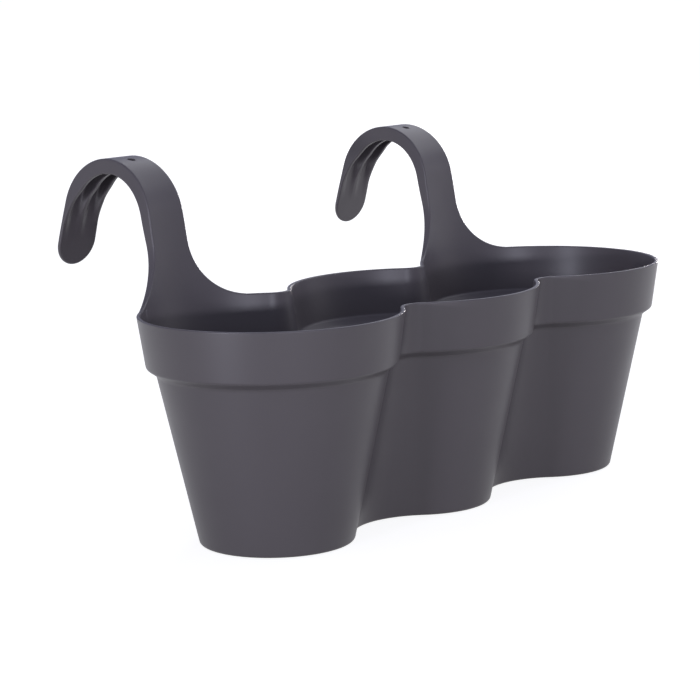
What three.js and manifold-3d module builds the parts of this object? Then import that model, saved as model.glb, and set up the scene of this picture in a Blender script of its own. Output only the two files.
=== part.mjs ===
// Triple balcony planter: three tapered cups moulded in a row, two rail hooks and three drain plugs.
// Millimetres, +Z up, X along the row of cups, +Y towards the rail.
// The origin is the centre of the middle cup's underside.
import * as THREE from 'three';
import { mergeVertices } from 'three/addons/utils/BufferGeometryUtils.js';
import Module from 'manifold-3d';

// Cups and collar
const rimRadius = 93;
const rimHeight = 162;
const cupOverlap = 31;
const wall = 2.8;
const floorThickness = 3;
const collarHeight = 37;
const collarFlare = 5.4;
const shoulderWidth = 7.2;
const shoulderDrop = 6;
const bodyTaper = 26;

// Hollow valleys between neighbouring cups, outside radius at the rim
const rimValley = 14.5;

// Rounded corners of the wall's section
const baseRounding = 3;
const shoulderRounding = 5;
const collarRounding = 3;
const floorRounding = 6;

// Hooks
const hookRise = 101;
const crownRadius = 44;
const tipLean = THREE.MathUtils.degToRad(16);
const tipHeight = 20;
const flareRadius = 43;
const flareStep = 0.8;
const neckWidth = 35;
const crownWidth = 30;
const tipWidth = 36;
const crownDepth = 11;
const webThickness = 2;
const armThickness = 3;
const flangeFade = 20;
const flangeWidth = 3.2;
const ribWidth = 3;
const flankDraft = 0.6;
const edgeChamfer = 0.8;
const seatLength = 10;
const screwHoleRadius = 3;
const screwHoleSetback = 10.8;
const screwHoleLand = 1;
const ribRunOut = 2;

// Drain holes and plugs
const drainHoleRadius = 8;
const drainSetback = 24;
const plugClearance = 0.3;
const plugFlangeRadius = 12;
const plugFlangeThickness = 2;
const plugChamfer = 0.6;
const pullTabWidth = 9;
const pullTabHeight = 9;
const pullTabThickness = 2.6;
const pullTabRoot = 0.6;

// Fineness of the faceted curves
const endArcSteps = 36;
const middleArcSteps = 12;
const valleySteps = 8;
const roundingSteps = 2;
const flareSteps = 9;
const stemSteps = 3;
const archStep = THREE.MathUtils.degToRad(7);
const seatSteps = 2;
const armSteps = 6;
const tipSteps = 6;
const tipLastAngle = THREE.MathUtils.degToRad(84);
const faceSteps = 12;
const webSteps = 3;
const roundSteps = 32;
const tabSteps = 8;
const weldTolerance = 1e-4;

// Colours and surface of the two plastics
const anthracite = { color: 0x56535a, roughness: 0.55, metalness: 0 };
const plugBlack = { color: 0x2a292c, roughness: 0.7, metalness: 0 };

// Sizes that follow from the ones above
const cupPitch = 2 * rimRadius - cupOverlap;
const collarFootRadius = rimRadius - collarFlare;
const collarFootHeight = rimHeight - collarHeight;
const bodyTopRadius = collarFootRadius - shoulderWidth;
const bodyTopHeight = collarFootHeight - shoulderDrop;
const baseRadius = bodyTopRadius - bodyTaper;
const innerRimRadius = rimRadius - wall;
const valleyY = Math.sqrt((rimRadius + rimValley) ** 2 - (cupPitch / 2) ** 2);
const valleyMeet = Math.atan2(valleyY, cupPitch / 2);

const wasm = await Module();
wasm.setup();

// A closed geometry as a solid that can be joined or cut
function solidOf(geometry) {
  const bare = geometry.clone();
  bare.deleteAttribute('normal');
  bare.deleteAttribute('uv');
  const welded = mergeVertices(bare, weldTolerance);
  const vertProperties = new Float32Array(welded.attributes.position.array);
  const triVerts = new Uint32Array(welded.index.array);
  return new wasm.Manifold(new wasm.Mesh({ numProp: 3, vertProperties, triVerts }));
}

// A joined or cut solid as a geometry
function geometryOf(solid) {
  const { vertProperties, triVerts } = solid.getMesh();
  const geometry = new THREE.BufferGeometry();
  geometry.setAttribute('position', new THREE.BufferAttribute(vertProperties, 3));
  geometry.setIndex(new THREE.BufferAttribute(triVerts, 1));
  geometry.computeVertexNormals();
  return geometry;
}

// A skin over rings of points, closed by flat caps that have the outlines of the two end rings
function skin(rings, firstOutline, lastOutline) {
  const count = firstOutline.length;
  const faces = [];
  for (let ring = 0; ring + 1 < rings.length; ring += 1) {
    for (let i = 0; i < count; i += 1) {
      const here = ring * count + i;
      const beside = ring * count + ((i + 1) % count);
      faces.push(here, beside, beside + count, here, beside + count, here + count);
    }
  }
  const last = (rings.length - 1) * count;
  for (const [a, b, c] of THREE.ShapeUtils.triangulateShape(firstOutline, [])) faces.push(c, b, a);
  for (const [a, b, c] of THREE.ShapeUtils.triangulateShape(lastOutline, [])) {
    faces.push(last + a, last + b, last + c);
  }
  const geometry = new THREE.BufferGeometry();
  geometry.setAttribute('position', new THREE.Float32BufferAttribute(rings.flat(2), 3));
  geometry.setIndex(faces);
  geometry.computeVertexNormals();
  return geometry;
}

// Evenly spaced values from one number to another, both included
function spread(from, to, steps) {
  return Array.from({ length: steps + 1 }, (_, i) => from + ((to - from) * i) / steps);
}

// Points along an arc in plan, without its last point
function planArc(x, y, radius, from, to, steps) {
  const angles = spread(from, to, steps).slice(0, -1);
  return angles.map((a) => new THREE.Vector2(x + radius * Math.cos(a), y + radius * Math.sin(a)));
}

// Plan outline of the row, counter-clockwise: round cups joined by hollow valleys.
// Each outline is an even inset of the rim's: its valleys are as much larger as its cups are smaller.
function rowOutline(cupRadius) {
  const valleyRadius = rimValley + rimRadius - cupRadius;
  const half = cupPitch / 2;
  const { PI } = Math;
  return [
    ...planArc(cupPitch, 0, cupRadius, valleyMeet - PI, PI - valleyMeet, endArcSteps),
    ...planArc(half, valleyY, valleyRadius, -valleyMeet, valleyMeet - PI, valleySteps),
    ...planArc(0, 0, cupRadius, valleyMeet, PI - valleyMeet, middleArcSteps),
    ...planArc(-half, valleyY, valleyRadius, -valleyMeet, valleyMeet - PI, valleySteps),
    ...planArc(-cupPitch, 0, cupRadius, valleyMeet, 2 * PI - valleyMeet, endArcSteps),
    ...planArc(-half, -valleyY, valleyRadius, PI - valleyMeet, valleyMeet, valleySteps),
    ...planArc(0, 0, cupRadius, PI + valleyMeet, 2 * PI - valleyMeet, middleArcSteps),
    ...planArc(half, -valleyY, valleyRadius, PI - valleyMeet, valleyMeet, valleySteps),
  ];
}

// The wall's section is a chain of stations, each the cup radius and the height of one outline
function station(radius, height) {
  return new THREE.Vector2(radius, height);
}

// The stations of one corner, rounded by a radius as far as the neighbouring stretches allow
function roundedCorner(before, corner, after, rounding) {
  const back = before.clone().sub(corner);
  const on = after.clone().sub(corner);
  const turn = Math.PI - back.angleTo(on);
  const reach = Math.min(rounding * Math.tan(turn / 2), back.length() / 2, on.length() / 2);
  const start = corner.clone().add(back.setLength(reach));
  const end = corner.clone().add(on.setLength(reach));
  return new THREE.QuadraticBezierCurve(start, corner, end).getPoints(roundingSteps);
}

// Three-cup trough: a thin shell with an even wall, lofted up its outside and down its inside
function troughGeometry() {
  const taper = bodyTaper / bodyTopHeight;
  const slope = Math.atan2(shoulderDrop, shoulderWidth);
  const lift = (wall * (1 - Math.sin(slope))) / Math.cos(slope);
  const floorRadius = baseRadius + taper * floorThickness - wall;

  const base = station(baseRadius, 0);
  const bodyTop = station(bodyTopRadius, bodyTopHeight);
  const collarFoot = station(collarFootRadius, collarFootHeight);
  const rim = station(rimRadius, rimHeight);
  const innerRim = station(innerRimRadius, rimHeight);
  const innerFoot = station(collarFootRadius - wall, collarFootHeight + lift);
  const innerTop = station(bodyTopRadius - wall, bodyTopHeight + lift);
  const floorEdge = station(floorRadius, floorThickness);
  const underside = station(baseRadius - 2 * baseRounding, 0);
  const inside = station(floorRadius - 2 * floorRounding, floorThickness);

  const stations = [
    ...roundedCorner(underside, base, bodyTop, baseRounding),
    ...roundedCorner(base, bodyTop, collarFoot, shoulderRounding),
    ...roundedCorner(bodyTop, collarFoot, rim, collarRounding),
    rim,
    innerRim,
    ...roundedCorner(innerRim, innerFoot, innerTop, collarRounding),
    ...roundedCorner(innerFoot, innerTop, floorEdge, shoulderRounding),
    ...roundedCorner(innerTop, floorEdge, inside, floorRounding),
  ];
  const outlines = stations.map(({ x }) => rowOutline(x));
  const rings = outlines.map((outline, i) => outline.map((p) => [p.x, p.y, stations[i].y]));
  return skin(rings, outlines[0], outlines[outlines.length - 1]);
}

// A drain hole through the floor of one cup
function drainHole(cupX) {
  const hole = new THREE.CylinderGeometry(drainHoleRadius, drainHoleRadius, 4 * floorThickness, roundSteps);
  hole.rotateX(Math.PI / 2);
  hole.translate(cupX, -drainSetback, 0);
  return solidOf(hole);
}

// The hook's outer face runs on up the collar's inner wall, over the crown and down the back arm
const stemLean = Math.atan2(collarFlare, collarHeight);
const crownZ = rimHeight + hookRise - crownRadius;
const crownY =
  innerRimRadius + (crownZ - rimHeight) * Math.tan(stemLean) + crownRadius / Math.cos(stemLean);
const archStart = Math.PI - stemLean;
const archStartZ = crownZ + crownRadius * Math.sin(archStart);
const archEndZ = crownZ + crownRadius * Math.sin(tipLean);
const stemLength = (archStartZ - rimHeight) / Math.cos(stemLean);
const crownAt = stemLength + crownRadius * (archStart - Math.PI / 2);
const armAt = stemLength + crownRadius * (archStart - tipLean);
const tipAt = armAt + (archEndZ - rimHeight - tipHeight) / Math.cos(tipLean);
const tipStart = tipAt - tipWidth / 2;
const flareAt = flareRadius / Math.cos(stemLean);

// The rail seat is a flat land across the inside of the crown
const seatHalfAngle = Math.asin(seatLength / 2 / (crownRadius - crownDepth));
const seatDistance = (crownRadius - crownDepth) * Math.cos(seatHalfAngle);
const seatFrom = crownAt - crownRadius * seatHalfAngle;
const seatTo = crownAt + crownRadius * seatHalfAngle;
const screwHoleAngle = Math.PI / 2 + Math.asin(screwHoleSetback / crownRadius);
const screwHoleAt = stemLength + crownRadius * (archStart - screwHoleAngle);

// Height of a point on the outer face and the direction into the arch, at a length along the hook
function hookFrame(along) {
  if (along < stemLength) {
    const lean = stemLean * Math.min(1, along / flareAt);
    const z = rimHeight + along * Math.cos(stemLean);
    const y = innerRimRadius + along * Math.sin(stemLean);
    return { y, z, inY: Math.cos(lean), inZ: -Math.sin(lean) };
  }
  const angle = Math.max(tipLean, archStart - (along - stemLength) / crownRadius);
  const past = Math.max(0, along - armAt);
  const y = crownY + crownRadius * Math.cos(angle) + past * Math.sin(tipLean);
  const z = crownZ + crownRadius * Math.sin(angle) - past * Math.cos(tipLean);
  return { y, z, inY: -Math.cos(angle), inZ: -Math.sin(angle) };
}

// Half width: a round flare off the rim, a slim crown and a wider, half-round tip
function hookHalfWidth(along) {
  if (along < flareAt) {
    const height = Math.max(flareStep, along * Math.cos(stemLean));
    return neckWidth / 2 + flareRadius - Math.sqrt(flareRadius ** 2 - (flareRadius - height) ** 2);
  }
  if (along < crownAt) {
    const t = THREE.MathUtils.smoothstep(along, flareAt, crownAt);
    return THREE.MathUtils.lerp(neckWidth, crownWidth, t) / 2;
  }
  const t = THREE.MathUtils.smoothstep(along, crownAt, tipStart);
  const half = THREE.MathUtils.lerp(crownWidth, tipWidth, t) / 2;
  const past = Math.max(0, along - tipStart);
  return Math.sqrt(half ** 2 - past ** 2);
}

// Depth of the side flanges: they grow out of the rim, are level on the seat and thin down on the arm
function flangeDepth(along) {
  if (along < seatFrom) {
    return wall + (crownDepth - wall) * Math.sin((along / seatFrom) * (Math.PI / 2));
  }
  if (along <= seatTo) return crownRadius - seatDistance / Math.cos((along - crownAt) / crownRadius);
  const t = THREE.MathUtils.smoothstep(along, armAt - flangeFade, armAt + flangeFade);
  return THREE.MathUtils.lerp(crownDepth, armThickness, t);
}

// Depth of the web between the flanges: it thins towards the crown and runs out level low on the arm
function webDepth(along) {
  const web = THREE.MathUtils.lerp(wall, webThickness, THREE.MathUtils.smoothstep(along, 0, crownAt));
  const runOut = THREE.MathUtils.smoothstep(along, (armAt + tipStart) / 2, tipStart);
  return THREE.MathUtils.lerp(web, flangeDepth(along), runOut);
}

// Depth of the middle rib: level with the flanges, and cleared away round the screw hole
function ribDepth(along) {
  const clear = screwHoleRadius + screwHoleLand;
  const t = THREE.MathUtils.smoothstep(Math.abs(along - screwHoleAt), clear - ribRunOut, clear);
  return THREE.MathUtils.lerp(webDepth(along), flangeDepth(along), t);
}

// Channel section at a length along the hook: across the hook, and in from its outer face.
// The channel narrows to a point on the back arm.
function hookSection(along) {
  const half = hookHalfWidth(along);
  const narrow = Math.min(1, (2 * half) / crownWidth);
  const rib = (narrow * ribWidth) / 2;
  const draft = narrow * flankDraft;
  const chamfer = narrow * edgeChamfer;
  const fullFlange = half - rib - 3 * draft;
  const taper = THREE.MathUtils.smoothstep(along, armAt, tipStart);
  const flange = THREE.MathUtils.lerp(narrow * flangeWidth, fullFlange, taper);
  const depth = flangeDepth(along);
  const webFloor = webDepth(along);
  const web = spread(half - flange - draft, rib + draft, webSteps).map((x) => [x, webFloor]);
  const side = [[half, chamfer], [half, depth], [half - flange, depth], ...web, [rib, ribDepth(along)]];
  const face = spread(chamfer - half, half - chamfer, faceSteps).map((x) => [x, 0]);
  const otherSide = side.map(([x, inward]) => [-x, inward]).reverse();
  return [...face, ...side, ...otherSide];
}

// The same section bent round the cup: the bend of the rim eases off towards the crown
function bentSection(along) {
  const bend = (1 - THREE.MathUtils.smoothstep(along, 0, crownAt)) / innerRimRadius;
  return hookSection(along).map(([across, inward]) => {
    if (bend === 0) return new THREE.Vector2(across, inward);
    const angle = across * bend;
    const radius = 1 / bend + inward;
    return new THREE.Vector2(radius * Math.sin(angle), radius * Math.cos(angle) - 1 / bend);
  });
}

// Lengths along the hook at which its section is taken
function hookStations() {
  const flareFirst = Math.acos(1 - flareStep / flareRadius);
  const flare = spread(flareFirst, Math.PI / 2, flareSteps).map((a) => flareAt * (1 - Math.cos(a)));
  const archSpan = (length) => Math.max(1, Math.round(length / crownRadius / archStep));
  const tip = spread(0, tipLastAngle, tipSteps).map((a) => tipStart + (tipWidth / 2) * Math.sin(a));
  return [
    0,
    ...flare,
    ...spread(flareAt, stemLength, stemSteps).slice(1),
    ...spread(stemLength, seatFrom, archSpan(seatFrom - stemLength)).slice(1),
    ...spread(seatFrom, seatTo, seatSteps).slice(1),
    ...spread(seatTo, armAt, archSpan(armAt - seatTo)).slice(1),
    ...spread(armAt, tipStart, armSteps).slice(1),
    ...tip.slice(1),
  ];
}

// Swan-neck hook: a channel lofted up from the rim, over the crown and down to a flat round tip
function hookGeometry() {
  const stations = hookStations();
  const outlines = stations.map(bentSection);
  const rings = outlines.map((outline, i) => {
    const { y, z, inY, inZ } = hookFrame(stations[i]);
    return outline.map((p) => [p.x, y + p.y * inY, z + p.y * inZ]);
  });
  const channel = solidOf(skin(rings, outlines[0], outlines[outlines.length - 1]));

  const { y, z, inY, inZ } = hookFrame(screwHoleAt);
  const hole = new THREE.CylinderGeometry(screwHoleRadius, screwHoleRadius, 2 * crownDepth, roundSteps);
  hole.rotateX(Math.atan2(inZ, inY));
  hole.translate(0, y, z);
  return geometryOf(channel.subtract(solidOf(hole)));
}

// Drain plug: a stub in the floor hole, a flange on the floor and an upright pull tab
function plugGeometry() {
  const stub = drainHoleRadius - plugClearance;
  const top = floorThickness + plugFlangeThickness;
  const profile = [
    new THREE.Vector2(0, plugClearance),
    new THREE.Vector2(stub - plugChamfer, plugClearance),
    new THREE.Vector2(stub, plugClearance + plugChamfer),
    new THREE.Vector2(stub, floorThickness),
    new THREE.Vector2(plugFlangeRadius, floorThickness),
    new THREE.Vector2(plugFlangeRadius, top - plugChamfer),
    new THREE.Vector2(plugFlangeRadius - plugChamfer, top),
    new THREE.Vector2(0, top),
  ];
  const body = new THREE.LatheGeometry(profile, roundSteps);
  body.rotateX(Math.PI / 2);

  const outline = new THREE.Shape();
  const round = pullTabWidth / 2;
  outline.moveTo(-round, -pullTabRoot);
  outline.lineTo(round, -pullTabRoot);
  outline.absarc(0, pullTabHeight - round, round, 0, Math.PI, false);
  outline.closePath();
  const tab = new THREE.ExtrudeGeometry(outline, {
    depth: pullTabThickness,
    bevelEnabled: false,
    curveSegments: tabSteps,
  });
  tab.rotateX(Math.PI / 2);
  tab.translate(0, pullTabThickness / 2, top);
  return geometryOf(solidOf(body).add(solidOf(tab)));
}

// One named piece with its own material
function piece(name, geometry, look) {
  const mesh = new THREE.Mesh(geometry, new THREE.MeshStandardMaterial(look));
  mesh.name = name;
  return mesh;
}

const planter = new THREE.Group();
planter.name = 'triple_balcony_planter';

const cups = [
  { side: 'left', x: -cupPitch, hasHook: true },
  { side: 'middle', x: 0, hasHook: false },
  { side: 'right', x: cupPitch, hasHook: true },
];

const shell = solidOf(troughGeometry());
const drainedShell = cups.reduce((solid, cup) => solid.subtract(drainHole(cup.x)), shell);
planter.add(piece('planter_trough', geometryOf(drainedShell), anthracite));

for (const { side, x } of cups.filter((cup) => cup.hasHook)) {
  const hook = piece(`hook_${side}`, hookGeometry(), anthracite);
  hook.position.set(x, 0, 0);
  planter.add(hook);
}

for (const { side, x } of cups) {
  const plug = piece(`drain_plug_${side}`, plugGeometry(), plugBlack);
  plug.position.set(x, -drainSetback, 0);
  planter.add(plug);
}

export default planter;
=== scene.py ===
import math

import bmesh
import bpy
import numpy as np
from mathutils import Matrix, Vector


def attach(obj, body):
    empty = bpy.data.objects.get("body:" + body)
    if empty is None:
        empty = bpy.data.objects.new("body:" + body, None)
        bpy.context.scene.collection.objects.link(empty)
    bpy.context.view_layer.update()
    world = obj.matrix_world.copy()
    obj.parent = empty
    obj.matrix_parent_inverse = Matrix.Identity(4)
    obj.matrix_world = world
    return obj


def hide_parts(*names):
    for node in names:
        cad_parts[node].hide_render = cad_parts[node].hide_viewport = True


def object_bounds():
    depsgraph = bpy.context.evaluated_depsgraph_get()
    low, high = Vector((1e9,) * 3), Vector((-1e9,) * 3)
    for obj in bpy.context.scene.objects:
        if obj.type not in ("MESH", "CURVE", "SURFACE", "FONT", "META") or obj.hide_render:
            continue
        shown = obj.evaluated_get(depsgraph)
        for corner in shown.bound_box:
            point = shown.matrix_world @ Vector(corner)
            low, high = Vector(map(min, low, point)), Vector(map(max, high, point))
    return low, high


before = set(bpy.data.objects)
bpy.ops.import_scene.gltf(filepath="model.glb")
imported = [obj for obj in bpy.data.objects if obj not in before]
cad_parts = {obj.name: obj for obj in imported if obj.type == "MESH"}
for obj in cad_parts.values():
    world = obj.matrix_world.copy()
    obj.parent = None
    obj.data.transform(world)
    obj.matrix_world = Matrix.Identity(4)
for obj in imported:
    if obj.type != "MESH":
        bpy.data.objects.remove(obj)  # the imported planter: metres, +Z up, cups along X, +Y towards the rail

cadBox = [list(corner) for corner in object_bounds()]
mm = 0.001  # sizes of the pieces are written in millimetres
tiny = 1e-9  # keeps divisions off zero


# sRGB hex to linear light: value/12.92 near black, ((value + 0.055)/1.055)^2.4 above
def linear(hexColour):
    srgb = np.array([int(hexColour[i:i + 2], 16) for i in (1, 3, 5)]) / 255
    light = np.where(srgb <= 0.04045, srgb / 12.92, ((srgb + 0.055) / 1.055) ** 2.4)
    return (*light.tolist(), 1.0)


# 3t^2 - 2t^3, where t is how far value has gone from low to high
def smoothStep(value, low, high):
    t = np.clip((value - low) / (high - low), 0, 1)
    return t * t * (3 - 2 * t)


# (1 - t) of one number and t of the other
def blendOf(one, other, t):
    return one + (other - one) * t


# cells of a grid of points: corner, next column, the same two a row on; columns close on themselves
def gridFaces(rows, columns, first):
    row, column = np.meshgrid(np.arange(rows - 1), np.arange(columns), indexing="ij")
    beside = (column + 1) % columns
    corners = [row * columns + column, row * columns + beside]
    corners += [corners[1] + columns, corners[0] + columns]
    return np.stack(corners, axis=-1).reshape(-1, 4) + first


# cleaning of a new mesh, in millimetres: points this close are one, edges this short go
cleaning = {"samePoint": 0.002, "shortEdge": 0.001}


# one mesh out of grids of points in millimetres (rows, columns, xyz); caps close a grid's first or last row
def pieceFrom(name, grids, caps=()):
    points, faces, first = [], [], 0
    for grid in grids:
        rows, columns = grid.shape[:2]
        points.append(grid.reshape(-1, 3))
        faces += gridFaces(rows, columns, first).tolist()
        if "first" in caps:
            faces.append(list(range(first + columns - 1, first - 1, -1)))
        if "last" in caps:
            faces.append(list(range(first + (rows - 1) * columns, first + rows * columns)))
        first += rows * columns
    mesh = bpy.data.meshes.new(name)
    mesh.from_pydata(np.concatenate(points) * mm, [], faces)
    work = bmesh.new()
    work.from_mesh(mesh)
    bmesh.ops.remove_doubles(work, verts=work.verts, dist=cleaning["samePoint"] * mm)
    bmesh.ops.dissolve_degenerate(work, edges=work.edges, dist=cleaning["shortEdge"] * mm)
    work.to_mesh(mesh)
    work.free()
    piece = bpy.data.objects.new(name, mesh)
    bpy.context.scene.collection.objects.link(piece)
    return piece


# cuts a tool out of a piece, or joins it on, and keeps the result as the piece's own mesh
def workWith(piece, tool, operation):
    change = piece.modifiers.new("change", "BOOLEAN")
    change.operation = operation
    change.solver = "EXACT"
    change.object = tool
    bpy.context.view_layer.update()
    result = bpy.data.meshes.new_from_object(piece.evaluated_get(bpy.context.evaluated_depsgraph_get()))
    piece.modifiers.clear()
    before = piece.data
    result.name = before.name
    piece.data = result
    bpy.data.meshes.remove(before)
    bpy.data.objects.remove(tool)


# smooth faces, crisp edges past a given turn, and flat faces that keep their own normals
def finishPiece(piece, body, node, material, crispTurn=math.radians(40)):
    piece.data.materials.clear()
    piece.data.materials.append(material)
    piece.data.shade_smooth()
    piece.data.set_sharp_from_angle(angle=crispTurn)
    weighted = piece.modifiers.new("faceWeighted", "WEIGHTED_NORMAL")
    weighted.keep_sharp = True
    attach(piece, body)
    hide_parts(node)


# one node with its settings, its sockets' values and its links
def addNode(tree, kind, settings=None, sockets=None, links=None):
    node = tree.nodes.new(kind)
    for key, value in (settings or {}).items():
        setattr(node, key, value)
    for key, value in (sockets or {}).items():
        node.inputs[key].default_value = value
    for key, source in (links or {}).items():
        tree.links.new(source, node.inputs[key])
    return node


# camera where the photograph was taken from, in degrees and metres; the aim is along the picture's right
# and up, and the sensor in millimetres
cameraView = {
    "azimuth": -49.071,
    "elevation": 9.480,
    "roll": -1.341,
    "distance": 1.8887,
    "aimRight": -0.05026,
    "aimUp": 0.11137,
    "focalPixels": 2527.2,
    "imagePixels": 700,
    "sensorWidth": 36,
}


# axes: back along the line of sight, right level with the ground, up across both, then right and up turned
# by the roll; lens = sensor width * focal length in pixels / image width in pixels
def placeCamera(view):
    azimuth, elevation, roll = (math.radians(view[key]) for key in ("azimuth", "elevation", "roll"))
    back = np.array([
        math.sin(azimuth) * math.cos(elevation),
        -math.cos(azimuth) * math.cos(elevation),
        math.sin(elevation),
    ])
    level = np.array([math.cos(azimuth), math.sin(azimuth), 0.0])
    upright = np.cross(back, level)
    right = math.cos(roll) * level + math.sin(roll) * upright
    up = math.cos(roll) * upright - math.sin(roll) * level
    eye = view["aimRight"] * right + view["aimUp"] * up + view["distance"] * back
    data = bpy.data.cameras.new("camera")
    data.sensor_width = view["sensorWidth"]
    data.lens = data.sensor_width * view["focalPixels"] / view["imagePixels"]
    camera = bpy.data.objects.new("camera", data)
    place = np.eye(4)
    place[:3] = np.column_stack([right, up, back, eye])
    camera.matrix_world = Matrix(place)
    bpy.context.scene.collection.objects.link(camera)
    bpy.context.scene.camera = camera


placeCamera(cameraView)
print("camera placed")


# polypropylene, injection moulded against a fine eroded steel mould: even, satin, slightly mottled
def mouldedPolypropylene(look):
    material = bpy.data.materials.new(look["name"])
    material.use_nodes = True
    tree = material.node_tree
    shader = tree.nodes["Principled BSDF"]
    place = addNode(tree, "ShaderNodeTexCoord").outputs["Object"]
    cloud = addNode(
        tree, "ShaderNodeTexNoise",
        sockets={"Scale": 1 / (look["cloudSize"] * mm), "Detail": 3, "Roughness": 0.5},
        links={"Vector": place},
    ).outputs["Fac"]
    grain = addNode(
        tree, "ShaderNodeTexNoise",
        sockets={"Scale": 1 / (look["grainSize"] * mm), "Detail": 2, "Roughness": 0.6},
        links={"Vector": place},
    ).outputs["Fac"]
    tint = addNode(
        tree, "ShaderNodeMix",
        settings={"data_type": "RGBA"},
        sockets={"A": linear(look["colour"]), "B": linear(look["otherColour"])},
        links={"Factor": cloud},
    )
    sheen = addNode(
        tree, "ShaderNodeMapRange",
        sockets={"To Min": look["roughness"][0], "To Max": look["roughness"][1]},
        links={"Value": cloud},
    )
    bump = addNode(
        tree, "ShaderNodeBump",
        sockets={"Strength": look["grainStrength"], "Distance": look["grainDepth"] * mm},
        links={"Height": grain},
    )
    tree.links.new(tint.outputs["Result"], shader.inputs["Base Color"])
    tree.links.new(sheen.outputs["Result"], shader.inputs["Roughness"])
    tree.links.new(bump.outputs["Normal"], shader.inputs["Normal"])
    shader.inputs["IOR"].default_value = look["ior"]
    return material


anthracitePlastic = mouldedPolypropylene({
    "name": "mouldedAnthracitePolypropylene",
    "colour": "#534e50",
    "otherColour": "#4f4a4c",
    "roughness": (0.36, 0.44),
    "ior": 1.49,
    "cloudSize": 30,
    "grainSize": 0.7,  # real grain is about 0.1 mm: drawn coarser so that it shows close up
    "grainStrength": 0.25,
    "grainDepth": 0.03,
})
plugPlastic = mouldedPolypropylene({
    "name": "mouldedBlackPolyethylene",
    "colour": "#2c2b2e",
    "otherColour": "#272629",
    "roughness": (0.52, 0.62),
    "ior": 1.51,
    "cloudSize": 8,
    "grainSize": 0.5,  # real grain is about 0.1 mm: drawn coarser so that it shows close up
    "grainStrength": 0.25,
    "grainDepth": 0.03,
})

# three-cup trough, in millimetres
trough = {
    "rimRadius": 93,
    "rimHeight": 162,
    "cupOverlap": 31,
    "wall": 2.8,
    "floorThickness": 3,
    "collarHeight": 36,
    "collarFlare": 5.254,
    "shoulderWidth": 6.866,
    "shoulderDrop": 4.8,
    "bodyTaper": 26.48,
    "rimValley": 14.5,
    "baseRounding": 3,
    "shoulderRounding": 5,
    "collarRounding": 3,
    "floorRounding": 6,
    "lipRounding": 1.0,
    "drainHoleRadius": 8,
    "drainSetback": 24,
    "drainRounding": 0.4,
}
cupPitch = 2 * trough["rimRadius"] - trough["cupOverlap"]
innerRimRadius = trough["rimRadius"] - trough["wall"]
wallLean = math.atan2(trough["collarFlare"], trough["collarHeight"])
# steps of the trough's grids, round the row and over the wall
troughSteps = {
    "endArc": 144,
    "middleArc": 48,
    "valley": 24,
    "rounding": 8,
    "wall": 12,
    "collar": 4,
    "lip": 6,
    "acrossChannel": 16,
    "floor": 10,
    "drainEdge": 3,
}

# swan-neck hook, in millimetres and radians; shares and parts are plain numbers
hook = {
    "rise": 101,
    "crownRadius": 44,
    "tipLean": math.radians(16),
    "tipHeight": 20,
    "flareRadius": 43,
    "footStep": 0.15,  # the flare starts this far up its arc, where its edge has a slope
    "neckWidth": 35,
    "crownWidth": 30,
    "tipWidth": 36,
    "crownDepth": 11,
    "webThickness": 2,
    "armThickness": 3,
    "flangeFade": 20,
    "flangeWidth": 3.2,
    "ribWidth": 3,
    "flankDraft": 0.6,
    "armDraft": 4,
    "armRounding": 2,
    "edgeRounding": 1.2,
    "landRounding": 0.35,
    "rootFillet": 1.6,
    "seatLength": 10,
    "screwHoleRadius": 3,
    "screwHoleSetback": 10.8,
    "screwHoleLand": 1,
    "countersinkDepth": 0.25,
    "countersinkFlare": 1.2,
    "drillStandOff": 4,
    "ribRunOut": 2,
    "recessParts": 3,  # a slope, the web and a slope
    "legShare": 0.48,  # most of a leg that a rounding may take
    "slopeShare": 0.45,  # most of a recess's slope that a rounding may take
    "leastSlope": 0.3,  # flanges widen along the flare's flat edge down to this slope
    "leastBend": 1e-7,  # stands for flat
}
# steps of the hook's grid, along it and round its section
hookSteps = {
    "flare": 29,
    "stem": 7,
    "archUp": 17,
    "seat": 6,
    "archDown": 23,
    "arm": 23,
    "tip": 17,
    "face": 12,
    "edge": 6,
    "flank": 3,
    "land": 4,
    "fillet": 5,
    "web": 4,
    "drill": 40,
}


# half width of the flare at a height over the rim: neck/2 + R - sqrt(R^2 - (R - height)^2)
def flareHalf(height):
    radius = hook["flareRadius"]
    return hook["neckWidth"] / 2 + radius - np.sqrt(radius ** 2 - (radius - height) ** 2)


# slope of the flare's edge at a height: sine of its angle to the rim, sqrt(R^2 - (R - height)^2)/R
def flareSlope(height):
    radius = hook["flareRadius"]
    return np.sqrt(radius ** 2 - (radius - height) ** 2) / radius


footHalf = float(flareHalf(hook["footStep"]))
footFade = trough["lipRounding"] / float(flareSlope(hook["footStep"]))


# points of an arc in plan with the outward normals: centre + radius*(cos, sin), evenly, without the last
def planArc(centreX, centreY, radius, fromAngle, toAngle, steps, side):
    angle = fromAngle + (toAngle - fromAngle) * np.arange(steps) / steps
    normal = np.stack([np.cos(angle), np.sin(angle)], axis=-1)
    centre = np.stack(np.broadcast_arrays(centreX, centreY), axis=-1)
    return np.concatenate([centre + radius[..., None] * normal, side * normal], axis=-1)


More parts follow.
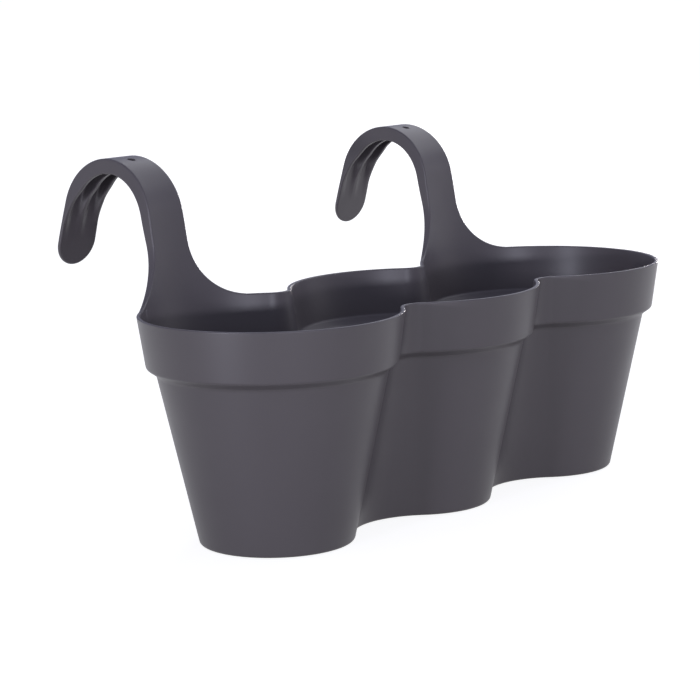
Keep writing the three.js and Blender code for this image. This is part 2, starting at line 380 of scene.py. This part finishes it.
# plan outlines of the row for a column of cup radii, each an even inset of the rim's: cup arcs joined by
# hollow arcs that touch them; valley centre at y = sqrt((cup + valley)^2 - (pitch/2)^2), and the arcs meet
# at the angle atan2(y, pitch/2)
def rowOutline(cupRadius):
    cup = np.array(cupRadius, float)[:, None]
    valley = trough["rimValley"] + trough["rimRadius"] - cup
    half = np.full_like(cup, cupPitch / 2)
    valleyY = np.sqrt((cup + valley) ** 2 - half ** 2)
    meet = np.arctan2(valleyY, half)
    zero, pi = 0 * cup, math.pi
    ends, middle, hollow = troughSteps["endArc"], troughSteps["middleArc"], troughSteps["valley"]
    return np.concatenate([
        planArc(2 * half, zero, cup, meet - pi, pi - meet, ends, 1),
        planArc(half, valleyY, valley, -meet, meet - pi, hollow, -1),
        planArc(zero, zero, cup, meet, pi - meet, middle, 1),
        planArc(-half, valleyY, valley, -meet, meet - pi, hollow, -1),
        planArc(-2 * half, zero, cup, meet, 2 * pi - meet, ends, 1),
        planArc(-half, -valleyY, valley, pi - meet, meet, hollow, -1),
        planArc(zero, zero, cup, pi + meet, 2 * pi - meet, middle, 1),
        planArc(half, -valleyY, valley, pi - meet, meet, hollow, -1),
    ], axis=1)


# corner of the wall's section as a curve: (1-t)^2 start + 2t(1-t) corner + t^2 end, with its legs cut at
# radius*tan(turn/2)
def roundedCorner(before, corner, after, radius):
    before, corner, after = (np.array(station, float) for station in (before, corner, after))
    back, on = before - corner, after - corner
    backLength, onLength = np.linalg.norm(back), np.linalg.norm(on)
    cosine = back @ on / backLength / onLength
    reach = min(radius * math.tan((math.pi - math.acos(cosine)) / 2), backLength / 2, onLength / 2)
    t = np.linspace(0, 1, troughSteps["rounding"] + 1)[:, None]
    start, end = corner + back * reach / backLength, corner + on * reach / onLength
    return (1 - t) ** 2 * start + 2 * t * (1 - t) * corner + t ** 2 * end


# stations spread evenly from the end of one rounding to the start of the next
def between(first, last, rows):
    return np.linspace(first[-1], last[0], rows + 1)[1:-1]


# the shell's wall: stations (cup radius, height) up the outside and down the inside, each an outline of
# the row; the lip is rounded except under the hooks' feet, where its rounding ends in a quarter circle
# r*(1 - sqrt(1 - t^2)); the inside keeps the wall's thickness square to the sloping shoulder
def troughWall(t):
    footHeight = t["rimHeight"] - t["collarHeight"]
    topHeight = footHeight - t["shoulderDrop"]
    footRadius = t["rimRadius"] - t["collarFlare"]
    topRadius = footRadius - t["shoulderWidth"]
    baseRadius = topRadius - t["bodyTaper"]
    slope = math.atan2(t["shoulderDrop"], t["shoulderWidth"])
    lift = t["wall"] * (1 - math.sin(slope)) / math.cos(slope)
    floorRadius = baseRadius + t["bodyTaper"] / topHeight * t["floorThickness"] - t["wall"]

    base = (baseRadius, 0)
    top = (topRadius, topHeight)
    foot = (footRadius, footHeight)
    rim = (t["rimRadius"], t["rimHeight"])
    innerRim = (innerRimRadius, t["rimHeight"])
    innerFoot = (footRadius - t["wall"], footHeight + lift)
    innerTop = (topRadius - t["wall"], topHeight + lift)
    floorEdge = (floorRadius, t["floorThickness"])
    underside = (baseRadius - 2 * t["baseRounding"], 0)
    inside = (floorRadius - 2 * t["floorRounding"], t["floorThickness"])

    outerCorners = [
        roundedCorner(underside, base, top, t["baseRounding"]),
        roundedCorner(base, top, foot, t["shoulderRounding"]),
        roundedCorner(top, foot, rim, t["collarRounding"]),
    ]
    innerCorners = [
        roundedCorner(innerRim, innerFoot, innerTop, t["collarRounding"]),
        roundedCorner(innerFoot, innerTop, floorEdge, t["shoulderRounding"]),
        roundedCorner(innerTop, floorEdge, inside, t["floorRounding"]),
    ]
    outer = np.concatenate([
        outerCorners[0],
        between(outerCorners[0], outerCorners[1], troughSteps["wall"]),
        outerCorners[1],
        outerCorners[2],
        between(outerCorners[2], [rim], troughSteps["collar"]),
    ])
    inner = np.concatenate([
        between([innerRim], innerCorners[0], troughSteps["collar"]),
        innerCorners[0],
        innerCorners[1],
        between(innerCorners[1], innerCorners[2], troughSteps["wall"]),
        innerCorners[2],
    ])

    # an outline of the row at the height of each station
    def rowsOf(stations):
        outlines = rowOutline(stations[:, 0])[..., :2]
        heights = np.broadcast_to(stations[:, None, 1:2], (*outlines.shape[:2], 1))
        return np.concatenate([outlines, heights], axis=-1)

    rimLine = rowOutline([t["rimRadius"]])[0]
    x, y = rimLine[:, 0], rimLine[:, 1]
    fromFootEnd = footHalf - innerRimRadius * np.abs(np.arctan2(np.abs(x) - cupPitch, y))
    pastFoot = np.clip(1 - fromFootEnd / footFade, 0, 1)
    rounding = t["lipRounding"] * (1 - np.sqrt(1 - pastFoot ** 2))

    k = np.linspace(0, 1, troughSteps["lip"] + 1)[:, None]
    down = np.array([-math.sin(wallLean), -math.cos(wallLean)])
    outerLip = (1 - k) ** 2 * down + k ** 2 * np.array([-1.0, 0.0])
    innerLip = (1 - k) ** 2 * np.array([1.0, 0.0]) + k ** 2 * down
    across = np.concatenate([outerLip[:, :1] * rounding, innerLip[:, :1] * rounding - t["wall"]])
    rise = np.concatenate([outerLip[:, 1:] * rounding, innerLip[:, 1:] * rounding])
    lip = np.concatenate([
        rimLine[None, :, :2] + across[..., None] * rimLine[None, :, 2:],
        (t["rimHeight"] + rise)[..., None],
    ], axis=-1)
    return np.concatenate([rowsOf(outer), lip, rowsOf(inner)])


# floor of one cup: rows shrink from the wall's inner edge to the drain hole, go down through it with
# rounded edges, and spread on the underside to the wall's outer edge
def cupFloor(insideLoop, undersideLoop, cupX, t):
    centre = np.array([cupX, -t["drainSetback"]])
    rounding, thickness = t["drainRounding"], t["floorThickness"]
    turn = np.linspace(0, math.pi / 2, troughSteps["drainEdge"] + 1)[:, None, None]

    # the loop drawn in to a circle about the hole's axis
    def holeRing(loop, radius):
        away = loop[:, :2] - centre
        return centre + radius * away / np.linalg.norm(away, axis=1, keepdims=True)

    # plan points with a height
    def at(flat, height):
        heights = np.broadcast_to(height, (*flat.shape[:-1], 1))
        return np.concatenate([flat, heights], axis=-1)

    share = np.linspace(0, 1, troughSteps["floor"] + 1)[:, None, None]
    wide = t["drainHoleRadius"] + rounding
    upperRadius = wide - rounding * np.sin(turn)
    upperHeight = thickness - rounding * (1 - np.cos(turn))
    lowerRadius = wide - rounding * np.cos(turn)
    lowerHeight = rounding * (1 - np.sin(turn))
    inside, under = insideLoop[:, :2], undersideLoop[:, :2]
    return np.concatenate([
        at(blendOf(inside, holeRing(inside, wide), share[:-1]), thickness),
        at(holeRing(inside, upperRadius), upperHeight),
        at(holeRing(under, lowerRadius), lowerHeight),
        at(blendOf(holeRing(under, wide), under, share[1:]), 0.0),
    ])


# whole trough: the wall, and three floors whose loops follow the wall's edge and cut straight across the
# channels, from the middle of one valley to the middle of the one opposite
def makeTrough(t):
    wall = troughWall(t)
    ends, middle, hollow = troughSteps["endArc"], troughSteps["middleArc"], troughSteps["valley"]
    mids = np.cumsum([ends, hollow + middle, hollow + ends, hollow + middle]) + hollow // 2

    # closed loop of each cup's floor on one row of the wall
    def loops(row):
        # points of the row from one valley to another
        def along(first, last):
            count = row.shape[0]
            return row[np.arange(first, last + (count if last < first else 0) + 1) % count]

        # points straight across a channel
        def straight(first, last):
            return np.linspace(row[first], row[last], troughSteps["acrossChannel"] + 1)[1:-1]

        a, b, c, d = mids
        return {
            "right": np.concatenate([along(d, a), straight(a, d)]),
            "middle": np.concatenate([along(a, b), straight(b, c), along(c, d), straight(d, a)]),
            "left": np.concatenate([along(b, c), straight(c, b)]),
        }

    insideLoops, undersideLoops = loops(wall[-1]), loops(wall[0])
    places = {"left": -cupPitch, "middle": 0.0, "right": cupPitch}
    floors = [cupFloor(insideLoops[side], undersideLoops[side], x, t) for side, x in places.items()]
    return pieceFrom("trough", [wall, *floors])


troughPiece = makeTrough(trough)
finishPiece(troughPiece, "planter", "planter_trough", anthracitePlastic)
print("trough made:", len(troughPiece.data.polygons), "faces")

# lengths along the hook's outer face, which runs on up the collar's inner wall
crownZ = trough["rimHeight"] + hook["rise"] - hook["crownRadius"]
crownY = (
    innerRimRadius
    + (crownZ - trough["rimHeight"]) * math.tan(wallLean)
    + hook["crownRadius"] / math.cos(wallLean)
)
archStart = math.pi - wallLean
archStartZ = crownZ + hook["crownRadius"] * math.sin(archStart)
archEndZ = crownZ + hook["crownRadius"] * math.sin(hook["tipLean"])
stemLength = (archStartZ - trough["rimHeight"]) / math.cos(wallLean)
crownAt = stemLength + hook["crownRadius"] * (archStart - math.pi / 2)
armAt = stemLength + hook["crownRadius"] * (archStart - hook["tipLean"])
armDrop = archEndZ - trough["rimHeight"] - hook["tipHeight"]
tipAt = armAt + armDrop / math.cos(hook["tipLean"])
tipStart = tipAt - hook["tipWidth"] / 2
flareAt = hook["flareRadius"] / math.cos(wallLean)
seatRadius = hook["crownRadius"] - hook["crownDepth"]
seatHalfAngle = math.asin(hook["seatLength"] / 2 / seatRadius)
seatFrom = crownAt - hook["crownRadius"] * seatHalfAngle
seatTo = crownAt + hook["crownRadius"] * seatHalfAngle
screwHoleAngle = math.pi / 2 + math.asin(hook["screwHoleSetback"] / hook["crownRadius"])
screwHoleAt = stemLength + hook["crownRadius"] * (archStart - screwHoleAngle)


# place of the outer face and the direction into the arch, for lengths along the hook:
# a straight lean up the stem, an arc about the crown's centre, a straight run down the arm
def hookFrame(along):
    stem = along < stemLength
    lean = wallLean * np.minimum(1, along / flareAt)
    angle = np.maximum(hook["tipLean"], archStart - np.maximum(0, along - stemLength) / hook["crownRadius"])
    past = np.maximum(0, along - armAt)
    archY = crownY + hook["crownRadius"] * np.cos(angle) + past * math.sin(hook["tipLean"])
    archZ = crownZ + hook["crownRadius"] * np.sin(angle) - past * math.cos(hook["tipLean"])
    y = np.where(stem, innerRimRadius + along * math.sin(wallLean), archY)
    z = np.where(stem, trough["rimHeight"] + along * math.cos(wallLean), archZ)
    return y, z, np.where(stem, np.cos(lean), -np.cos(angle)), np.where(stem, -np.sin(lean), -np.sin(angle))


# half width along the hook: round flare, then smooth steps from the neck's width to the crown's and on to
# the tip's, which ends in a half circle, sqrt(half^2 - past^2)
def hookHalf(along):
    height = np.clip(along * math.cos(wallLean), hook["footStep"], hook["flareRadius"])
    stem = blendOf(hook["neckWidth"], hook["crownWidth"], smoothStep(along, flareAt, crownAt)) / 2
    arm = blendOf(hook["crownWidth"], hook["tipWidth"], smoothStep(along, crownAt, tipStart)) / 2
    past = np.maximum(0, along - tipStart)
    tip = np.sqrt(np.maximum(0, arm ** 2 - past ** 2))
    return np.where(along < flareAt, flareHalf(height), np.where(along < crownAt, stem, tip))


# depth of the side flanges: a quarter sine up the stem, level on the seat, eased down to the arm's plate
def flangeDepth(along):
    wall, deep, fade = trough["wall"], hook["crownDepth"], hook["flangeFade"]
    stem = wall + (deep - wall) * np.sin(np.minimum(1, along / seatFrom) * math.pi / 2)
    swing = np.clip((along - crownAt) / hook["crownRadius"], -seatHalfAngle, seatHalfAngle)
    seat = hook["crownRadius"] - seatRadius * math.cos(seatHalfAngle) / np.cos(swing)
    arm = blendOf(deep, hook["armThickness"], smoothStep(along, armAt - fade, armAt + fade))
    return np.where(along < seatFrom, stem, np.where(along <= seatTo, seat, arm))


# depth of the web between the flanges: a smooth step from the wall's thickness at the rim to the web's at
# the crown, and one up to the flanges low on the arm
def webDepth(along):
    web = blendOf(trough["wall"], hook["webThickness"], smoothStep(along, 0, crownAt))
    return blendOf(web, flangeDepth(along), smoothStep(along, (armAt + tipStart) / 2, tipStart))


# corner of the channel's section on every station at once: (1-k)^2 start + 2k(1-k) corner + k^2 end
def sectionCorner(before, corner, after, radius, steps):
    back, on = before - corner, after - corner
    backLength = np.maximum(tiny, np.linalg.norm(back, axis=-1, keepdims=True))
    onLength = np.maximum(tiny, np.linalg.norm(on, axis=-1, keepdims=True))
    reach = np.minimum(radius, np.minimum(backLength, onLength) * hook["legShare"])
    start, end = corner + back / backLength * reach, corner + on / onLength * reach
    k = np.linspace(0, 1, steps + 1)[None, :, None]
    corner, start, end = corner[:, None], start[:, None], end[:, None]
    return (1 - k) ** 2 * start + 2 * k * (1 - k) * corner + k ** 2 * end


# channel section for each length along the hook, as (across, inward) points: outer face, rounded edge,
# flank, flange land, web and half rib, then the mirror image; a quarter circle r - sqrt(r^2 - (r - d)^2)
# rounds every point closer than r to the outline
def hookSections(along):
    half, depth, web = hookHalf(along), flangeDepth(along), webDepth(along)
    height = np.clip(along * math.cos(wallLean), hook["footStep"], hook["flareRadius"])
    slope = np.where(along < flareAt, flareSlope(height), 1.0)
    past, tipHalf = np.maximum(0, along - tipStart), hook["tipWidth"] / 2
    grow = smoothStep(along, 0, flareAt)
    edge = blendOf(trough["lipRounding"], hook["edgeRounding"], grow)
    narrow = np.minimum(1, 2 * half / hook["crownWidth"])
    rib, draft = narrow * hook["ribWidth"] / 2, narrow * hook["flankDraft"]
    clear = hook["screwHoleRadius"] + hook["screwHoleLand"]
    shown = smoothStep(np.abs(along - screwHoleAt), clear - hook["ribRunOut"], clear)
    ribDepth = blendOf(web, depth, shown)
    ease = smoothStep(along, armAt - hook["flangeFade"], armAt + hook["flangeFade"])
    parts = hook["recessParts"]
    flange = narrow * hook["flangeWidth"] / np.maximum(slope, hook["leastSlope"])
    flange = np.minimum(flange, half - rib - parts * draft)

    # across, for a distance in from the outline: half - distance/slope, or a smaller circle at the tip
    def outerAcross(distance):
        straight = np.maximum(0, half[:, None] - distance / slope[:, None])
        circle = np.sqrt(np.maximum(0, (tipHalf - distance) ** 2 - past[:, None] ** 2))
        return np.where(past[:, None] > 0, circle, straight)

    turn = np.linspace(0, math.pi / 2, hookSteps["edge"] + 1)[None, :]
    r = edge[:, None]
    frontX, frontIn = outerAcross(r * (1 - np.sin(turn))), r * (1 - np.cos(turn))
    limit = outerAcross(r)[:, 0]
    landX = np.minimum(half - flange, limit)
    slant = np.minimum(blendOf(draft, hook["armDraft"], ease), np.maximum(0, landX - rib) / parts)
    webX = np.maximum(0, landX - slant)
    ribRootX = np.minimum(rib + slant, webX)
    ribX = np.minimum(rib, ribRootX)

    # points of the section out of two columns of numbers
    def spot(across, inward):
        return np.stack(np.broadcast_arrays(across, inward), axis=-1)

    backEdge = spot(limit, depth)
    land, root = spot(landX, depth), spot(webX, web)
    ribRoot, ribTop, middle = spot(ribRootX, web), spot(ribX, ribDepth), spot(0 * half, ribDepth)
    wallRun = hook["slopeShare"] * np.hypot(slant, depth - web)[:, None]
    ribRun = hook["slopeShare"] * np.hypot(slant, ribDepth - web)[:, None]
    soft = blendOf(hook["landRounding"], hook["armRounding"], ease)[:, None]
    filled = blendOf(hook["rootFillet"], hook["armRounding"], ease)[:, None]
    landRound, ribRound = np.minimum(soft, wallRun), np.minimum(soft, ribRun)
    rootFillet, ribFillet = np.minimum(filled, wallRun), np.minimum(filled, ribRun)
    webEnd = sectionCorner(land, root, ribRoot, rootFillet, hookSteps["fillet"])
    webStart = sectionCorner(root, ribRoot, ribTop, ribFillet, hookSteps["fillet"])
    webShare = np.linspace(0, 1, hookSteps["web"] + 1)[None, 1:-1, None]
    faceX = frontX[:, :1] * np.linspace(0, 1, hookSteps["face"] + 1)[None, :-1]
    flankIn = blendOf(r, depth[:, None] - r, np.linspace(0, 1, hookSteps["flank"] + 1)[None, 1:-1])
    side = np.concatenate([
        spot(faceX, 0 * faceX),
        spot(frontX, frontIn),
        spot(half[:, None], flankIn),
        spot(outerAcross(r * (1 - np.cos(turn))), depth[:, None] - r * (1 - np.sin(turn))),
        sectionCorner(backEdge, land, root, landRound, hookSteps["land"]),
        webEnd,
        blendOf(webEnd[:, -1:], webStart[:, :1], webShare),
        webStart,
        sectionCorner(ribRoot, ribTop, middle, ribRound, hookSteps["land"]),
        middle[:, None],
    ], axis=1)
    across, inward = side[..., 0], side[..., 1]
    flatDistance = (half[:, None] - across) * slope[:, None]
    roundDistance = tipHalf - np.sqrt(across ** 2 + past[:, None] ** 2)
    distance = np.where(past[:, None] > 0, roundDistance, flatDistance)
    rounded = r - np.sqrt(np.maximum(0, r ** 2 - np.clip(r - distance, 0, r) ** 2))
    inward = np.clip(inward, rounded, np.maximum(rounded, depth[:, None] - rounded))
    across = np.concatenate([across, -across[:, -2:0:-1]], axis=1)
    inward = np.concatenate([inward, inward[:, -2:0:-1]], axis=1)
    return across, inward


# lengths along the hook at which its section is taken: even runs, and closer together by 1 - cos up the
# flare and by sin round the tip
def hookStations():
    steps = hookSteps
    flareFirst = math.acos(1 - hook["footStep"] / hook["flareRadius"])
    flare = flareAt * (1 - np.cos(np.linspace(flareFirst, math.pi / 2, steps["flare"] + 1)))
    tip = tipStart + hook["tipWidth"] / 2 * np.sin(np.linspace(0, math.pi / 2, steps["tip"] + 1))
    return np.concatenate([
        [0.0],
        flare,
        np.linspace(flareAt, stemLength, steps["stem"] + 1)[1:],
        np.linspace(stemLength, seatFrom, steps["archUp"] + 1)[1:],
        np.linspace(seatFrom, seatTo, steps["seat"] + 1)[1:],
        np.linspace(seatTo, armAt, steps["archDown"] + 1)[1:],
        np.linspace(armAt, tipStart, steps["arm"] + 1)[1:],
        tip[1:],
    ])


# the hook: sections bent round the cup, with across*bend as the angle about the rim's axis and a bend of
# 1/radius at the foot that eases to flat at the crown; a drill with a wider mouth makes the screw hole
def makeHook(side, cupX):
    along = hookStations()
    across, inward = hookSections(along)
    bend = (1 - smoothStep(along, 0, crownAt)) / innerRimRadius
    bend = np.maximum(hook["leastBend"], bend)[:, None]
    x = (1 / bend + inward) * np.sin(across * bend)
    into = (1 / bend + inward) * np.cos(across * bend) - 1 / bend
    y, z, inY, inZ = (value[:, None] for value in hookFrame(along))
    body = np.stack([cupX + x, y + into * inY, z + into * inZ], axis=-1)
    piece = pieceFrom(side + "Hook", [body], caps=("first",))

    holeY, holeZ, holeInY, holeInZ = (float(value[0]) for value in hookFrame(np.array([screwHoleAt])))
    inwardDirection = np.array([0, holeInY, holeInZ])
    sideways = np.cross(inwardDirection, [1, 0, 0])
    angle = np.linspace(0, 2 * math.pi, hookSteps["drill"], endpoint=False)[None, :, None]
    mouth, radius = hook["countersinkDepth"], hook["screwHoleRadius"]
    depths = np.array([-hook["drillStandOff"], mouth, mouth + hook["crownDepth"]])[:, None, None]
    radii = np.array([radius + hook["countersinkFlare"], radius, radius])[:, None, None]
    ring = np.cos(angle) * np.array([1, 0, 0]) + np.sin(angle) * sideways
    drill = np.array([cupX, holeY, holeZ]) + radii * ring + depths * inwardDirection
    workWith(piece, pieceFrom("drill", [drill], caps=("first", "last")), "DIFFERENCE")
    return piece


for side, cupX in {"left": -cupPitch, "right": cupPitch}.items():
    hookPiece = makeHook(side, cupX)
    finishPiece(hookPiece, "planter", "hook_" + side, anthracitePlastic)
    print("hook made:", side, len(hookPiece.data.polygons), "faces")

# drain plug, in millimetres
plug = {
    "clearance": 0.3,
    "flangeRadius": 12,
    "flangeThickness": 2,
    "rounding": 0.6,
    "tabWidth": 9,
    "tabHeight": 9,
    "tabThickness": 2.6,
    "tabRoot": 0.6,
    "tabRounding": 0.7,
    "axisRadius": 0.01,
}
# steps of the plug's grids
plugSteps = {"turn": 72, "rounding": 5, "tabArc": 24}


# plug: a profile of radius and height turned about the hole's axis, and a pull tab whose U outline
# shrinks by a quarter circle towards both faces
def makePlug(side, cupX):
    rounding, top = plug["rounding"], trough["floorThickness"] + plug["flangeThickness"]
    stub = trough["drainHoleRadius"] - plug["clearance"]
    quarter = np.linspace(0, math.pi / 2, plugSteps["rounding"] + 1)
    out, up = np.sin(quarter) * rounding, (1 - np.cos(quarter)) * rounding
    radius = np.concatenate([
        [plug["axisRadius"]], stub - rounding + out, [stub, plug["flangeRadius"]],
        plug["flangeRadius"] - up, [plug["axisRadius"]],
    ])
    height = np.concatenate([
        [plug["clearance"]], plug["clearance"] + up, [trough["floorThickness"]] * 2,
        top - rounding + out, [top],
    ])
    angle = np.linspace(0, 2 * math.pi, plugSteps["turn"], endpoint=False)
    centre = np.array([cupX, -trough["drainSetback"], 0])
    turned = np.stack([
        radius[:, None] * np.cos(angle), radius[:, None] * np.sin(angle),
        np.broadcast_to(height[:, None], (radius.size, angle.size)),
    ], axis=-1)
    piece = pieceFrom(side + "DrainPlug", [turned + centre], caps=("first", "last"))

    tabHalf, soft = plug["tabWidth"] / 2, plug["tabRounding"]
    arc = np.linspace(0, math.pi, plugSteps["tabArc"] + 1)
    normal = np.stack([np.cos(arc), np.sin(arc)], axis=-1)
    outline = np.concatenate([
        normal * tabHalf + [0, plug["tabHeight"] - tabHalf],
        [[-tabHalf, -plug["tabRoot"]], [tabHalf, -plug["tabRoot"]]],
    ])
    inwards = np.concatenate([-normal, [[1, 0], [-1, 0]]])
    shrink = soft * (1 - np.cos(quarter))
    shrink = np.concatenate([shrink[::-1], shrink])
    across = plug["tabThickness"] / 2 - soft + np.sin(quarter) * soft
    across = np.concatenate([across[::-1], -across])
    flat = outline[None] + shrink[:, None, None] * inwards[None]
    tab = np.stack([
        flat[..., 0], np.broadcast_to(across[:, None], flat.shape[:2]), flat[..., 1] + top,
    ], axis=-1)
    workWith(piece, pieceFrom("tab", [tab + centre], caps=("first", "last")), "UNION")
    return piece


for side, cupX in {"left": -cupPitch, "middle": 0.0, "right": cupPitch}.items():
    plugPiece = makePlug(side, cupX)
    finishPiece(plugPiece, "plug_" + side, "drain_plug_" + side, plugPlastic)
    print("plug made:", side, len(plugPiece.data.polygons), "faces")

# studio: white surround, pale floor and six lamps; lengths in metres, powers in watts, and the lamps' turns
# in degrees from the camera's azimuth
studio = {
    "floorHalf": 40.0,
    "floorDrop": 0.0003,
    "floorColour": "#b0b0b0",
    "floorStrengths": {"Is Camera Ray": 0.86, "Is Glossy Ray": 1.0, "Is Transmission Ray": 0.86},
    # painted shade: the floor's glow as gloss sees it is darker near the cups, by these shares over these
    # distances
    "paintedFloorShade": {"near": 0.06, "far": 0.45, "nearShare": 0.6, "farShare": 0.8},
    "surround": "#ffffff",
    "softLight": "#e0e3ff",
    "surroundStrengths": {
        "Is Camera Ray": 1.0, "Is Glossy Ray": 0.68, "Is Transmission Ray": 1.0, "Is Diffuse Ray": 0.46,
    },
    "lamps": {
        "leftFront": {
            "turn": -34, "elevation": 3.7, "distance": 3.5, "size": (0.55, 0.11),
            "power": 35, "colour": "#eceeff", "glossOnly": False,
        },
        "leftLow": {
            "turn": -34, "elevation": -5, "distance": 1.0, "size": (0.16, 0.05),
            "power": 1.3, "colour": "#eceeff", "glossOnly": True,
        },
        "rightFront": {
            "turn": 20, "elevation": 3.7, "distance": 3.5, "size": (1.27, 0.11),
            "power": 34, "colour": "#eceeff", "glossOnly": False,
        },
        "rightBack": {
            "turn": 160, "elevation": 0, "distance": 3.5, "size": (1.43, 0.32),
            "power": 60, "colour": "#fff8f8", "glossOnly": False,
        },
        "rightSide": {
            "turn": 105, "elevation": 14, "distance": 3.5, "size": (1.6, 1.27),
            "power": 6, "colour": "#fffafa", "glossOnly": False,
        },
        "highBack": {
            "turn": 148, "elevation": 37, "distance": 3.5, "size": (3.6, 1.6),
            "power": 25, "colour": "#ffffff", "glossOnly": False,
        },
    },
}


# one sum on two numbers or outputs of nodes
def combine(tree, operation, sockets=None, links=None):
    return addNode(tree, "ShaderNodeMath", {"operation": operation}, sockets, links).outputs[0]


# strength of a glow for each kind of ray, what the camera sees, what gloss and glass see and what lights:
# the greatest of the strengths that the ray's kinds ask for, each times its share where one is given
def glowStrength(tree, strengths, shares):
    ray = addNode(tree, "ShaderNodeLightPath").outputs
    strength = None
    for kind, value in strengths.items():
        asked = combine(tree, "MULTIPLY", {1: value}, {0: ray[kind]})
        if kind in shares:
            asked = combine(tree, "MULTIPLY", links={0: asked, 1: shares[kind]})
        strength = asked if strength is None else combine(tree, "MAXIMUM", links={0: strength, 1: asked})
    return strength


# world: white for the camera, and a weaker, slightly blue and even light for gloss and all the rest
def makeSurround(s):
    world = bpy.data.worlds.new("surround")
    world.use_nodes = True
    bpy.context.scene.world = world
    tree = world.node_tree
    shell = tree.nodes["Background"]
    looked = addNode(tree, "ShaderNodeLightPath").outputs["Is Camera Ray"]
    tint = addNode(
        tree, "ShaderNodeMix",
        settings={"data_type": "RGBA"},
        sockets={"A": linear(s["softLight"]), "B": linear(s["surround"])},
        links={"Factor": looked},
    )
    tree.links.new(tint.outputs["Result"], shell.inputs["Color"])
    tree.links.new(glowStrength(tree, s["surroundStrengths"], {}), shell.inputs["Strength"])


# pale floor: matt paper, with a glow for the camera so that it reads white where no shadow falls; gloss
# sees the glow by a share that eases from near to far with the distance to the line through the cups, a
# painted shade that darkens the floor's reflection close to the cups, where the floor would lie in their
# shade
def makeFloor(s):
    half, low = s["floorHalf"], -s["floorDrop"]
    mesh = bpy.data.meshes.new("studioFloor")
    corners = [(-half, -half, low), (half, -half, low), (half, half, low), (-half, half, low)]
    mesh.from_pydata(corners, [], [(0, 1, 2, 3)])
    floor = bpy.data.objects.new("studioFloor", mesh)
    bpy.context.scene.collection.objects.link(floor)
    material = bpy.data.materials.new("mattPaperFloor")
    material.use_nodes = True
    tree = material.node_tree
    tree.nodes.remove(tree.nodes["Principled BSDF"])
    shade, row = s["paintedFloorShade"], cupPitch * mm
    place = addNode(tree, "ShaderNodeTexCoord").outputs["Object"]
    alongRow = addNode(tree, "ShaderNodeSeparateXYZ", links={0: place}).outputs["X"]
    held = addNode(
        tree, "ShaderNodeClamp",
        sockets={"Min": -row, "Max": row},
        links={"Value": alongRow},
    ).outputs["Result"]
    nearest = addNode(tree, "ShaderNodeCombineXYZ", links={"X": held}).outputs["Vector"]
    distance = addNode(
        tree, "ShaderNodeVectorMath",
        settings={"operation": "DISTANCE"},
        links={0: place, 1: nearest},
    ).outputs["Value"]
    # painted shade: the share of the glow that gloss sees is smaller near the cups, standing in for the
    # planter's shade on the floor
    share = addNode(
        tree, "ShaderNodeMapRange",
        settings={"interpolation_type": "SMOOTHSTEP"},
        sockets={
            "From Min": shade["near"], "From Max": shade["far"],
            "To Min": shade["nearShare"], "To Max": shade["farShare"],
        },
        links={"Value": distance},
    ).outputs["Result"]
    glow = glowStrength(tree, s["floorStrengths"], {"Is Glossy Ray": share})
    paper = addNode(tree, "ShaderNodeBsdfDiffuse", sockets={"Color": linear(s["floorColour"])}).outputs[0]
    light = addNode(tree, "ShaderNodeEmission", links={"Strength": glow}).outputs[0]
    both = addNode(tree, "ShaderNodeAddShader", links={0: paper, 1: light}).outputs[0]
    tree.links.new(both, tree.nodes["Material Output"].inputs["Surface"])
    mesh.materials.append(material)


# lamp: a rectangle on a sphere about the planter's middle, turned from the camera's azimuth, facing the
# middle; one that is for gloss only leaves matt light as it is
def makeLamp(name, lamp):
    turn = math.radians(cameraView["azimuth"] + lamp["turn"])
    elevation = math.radians(lamp["elevation"])
    middle = np.mean(cadBox, axis=0)
    away = np.array([
        math.sin(turn) * math.cos(elevation), -math.cos(turn) * math.cos(elevation), math.sin(elevation),
    ])
    data = bpy.data.lights.new(name, "AREA")
    data.shape = "RECTANGLE"
    data.size, data.size_y = lamp["size"]
    data.energy = lamp["power"]
    data.color = linear(lamp["colour"])[:3]
    light = bpy.data.objects.new(name, data)
    right = np.cross([0, 0, 1], away)
    right = right / np.linalg.norm(right)
    place = np.eye(4)
    place[:3] = np.column_stack([right, np.cross(away, right), away, middle + lamp["distance"] * away])
    light.matrix_world = Matrix(place)
    light.visible_diffuse = not lamp["glossOnly"]
    bpy.context.scene.collection.objects.link(light)


makeSurround(studio)
makeFloor(studio)
for name, lamp in studio["lamps"].items():
    makeLamp(name, lamp)
bpy.context.scene.view_settings.view_transform = "Standard"
print("studio lit")
